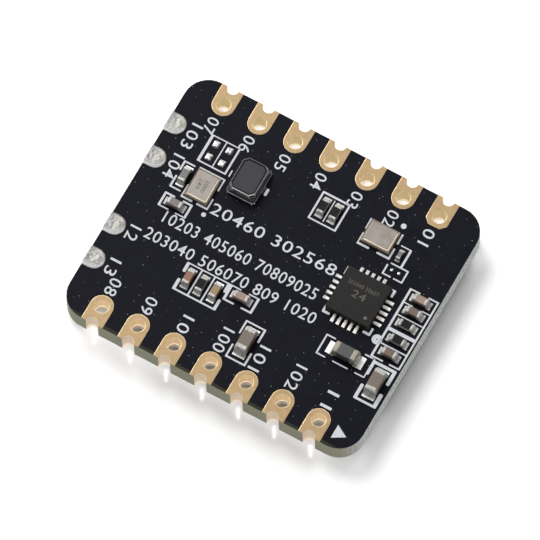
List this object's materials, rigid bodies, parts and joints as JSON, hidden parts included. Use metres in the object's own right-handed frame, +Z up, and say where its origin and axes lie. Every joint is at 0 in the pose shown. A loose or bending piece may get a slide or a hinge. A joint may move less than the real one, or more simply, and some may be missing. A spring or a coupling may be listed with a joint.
{
  "type": "microwave radar sensor module",
  "caption": "Small black circuit board with a microwave presence radar: castellated, drilled edge contacts on both long sides and surface-mounted parts on top.",
  "frame": {"origin": "under the middle of the board, on the plane that the underside chip rests on", "axes": "+X along the long side towards the end with the controller chip, +Y across towards the first contact's row, +Z up out of the component side"},
  "size_m": [0.0206, 0.0176, 0.0035],
  "materials": {
    "solder_mask": "black solder mask, satin",
    "contact_gold": "gold plate over copper",
    "solder": "reflowed solder, uneven",
    "package_moulding": "moulded epoxy",
    "ferrite": "pressed ferrite, satin",
    "winding_resin": "magnetic resin",
    "crystal_case": "fired ceramic",
    "crystal_lid": "satin plated lid",
    "capacitor_brown": "fired ceramic, tinned ends",
    "capacitor_pink": "fired ceramic, tinned ends",
    "capacitor_tan": "fired ceramic, tinned ends",
    "capacitor_orange": "fired ceramic, tinned ends",
    "capacitor_grey": "fired ceramic, tinned ends",
    "resistor_glaze": "black glaze, tinned ends",
    "bead_ceramic": "grey ceramic, silvered ends",
    "antenna_gold": "gold plated copper foil"
  },
  "bodies": {
    "root": {"circuit_board": "solder_mask", "edge_contact_01": "contact_gold", "edge_contact_02": "contact_gold", "edge_contact_03": "contact_gold", "edge_contact_04": "contact_gold", "edge_contact_05": "contact_gold", "edge_contact_06": "contact_gold", "edge_contact_07": "contact_gold", "edge_contact_08": "contact_gold", "edge_contact_09": "contact_gold", "edge_contact_10": "contact_gold", "edge_contact_11": "contact_gold", "edge_contact_12": "contact_gold", "edge_contact_13": "contact_gold", "edge_contact_14": "contact_gold", "side_pad_1": "solder", "side_pad_2": "solder", "side_pad_3": "solder", "side_pad_4": "solder", "empty_pad_1": "solder", "empty_pad_2": "solder", "empty_pad_3": "solder", "empty_pad_4": "solder", "small_pad_1": "solder", "small_pad_2": "solder", "controller_chip": "package_moulding", "radar_chip": "package_moulding", "inductor_core": "ferrite", "inductor_coat": "winding_resin", "tall_crystal_case": "crystal_case", "wide_crystal_case": "crystal_case", "tall_crystal_lid": "crystal_lid", "wide_crystal_lid": "crystal_lid", "column_capacitor_2": "capacitor_brown", "column_capacitor_3": "capacitor_brown", "column_capacitor_1": "capacitor_pink", "row_capacitor_3": "capacitor_pink", "tall_crystal_capacitor_2": "capacitor_pink", "row_capacitor_2": "capacitor_tan", "row_capacitor_1": "capacitor_orange", "supply_capacitor_1": "capacitor_grey", "supply_capacitor_2": "capacitor_grey", "tall_crystal_capacitor_1": "capacitor_grey", "wide_crystal_capacitor": "capacitor_grey", "link_resistor_1": "resistor_glaze", "link_resistor_2": "resistor_glaze", "column_resistor_1": "resistor_glaze", "column_resistor_2": "resistor_glaze", "row_resistor": "resistor_glaze", "supply_bead": "bead_ceramic", "antenna_transmit": "antenna_gold", "antenna_receive": "antenna_gold"}
  },
  "joints": []
}
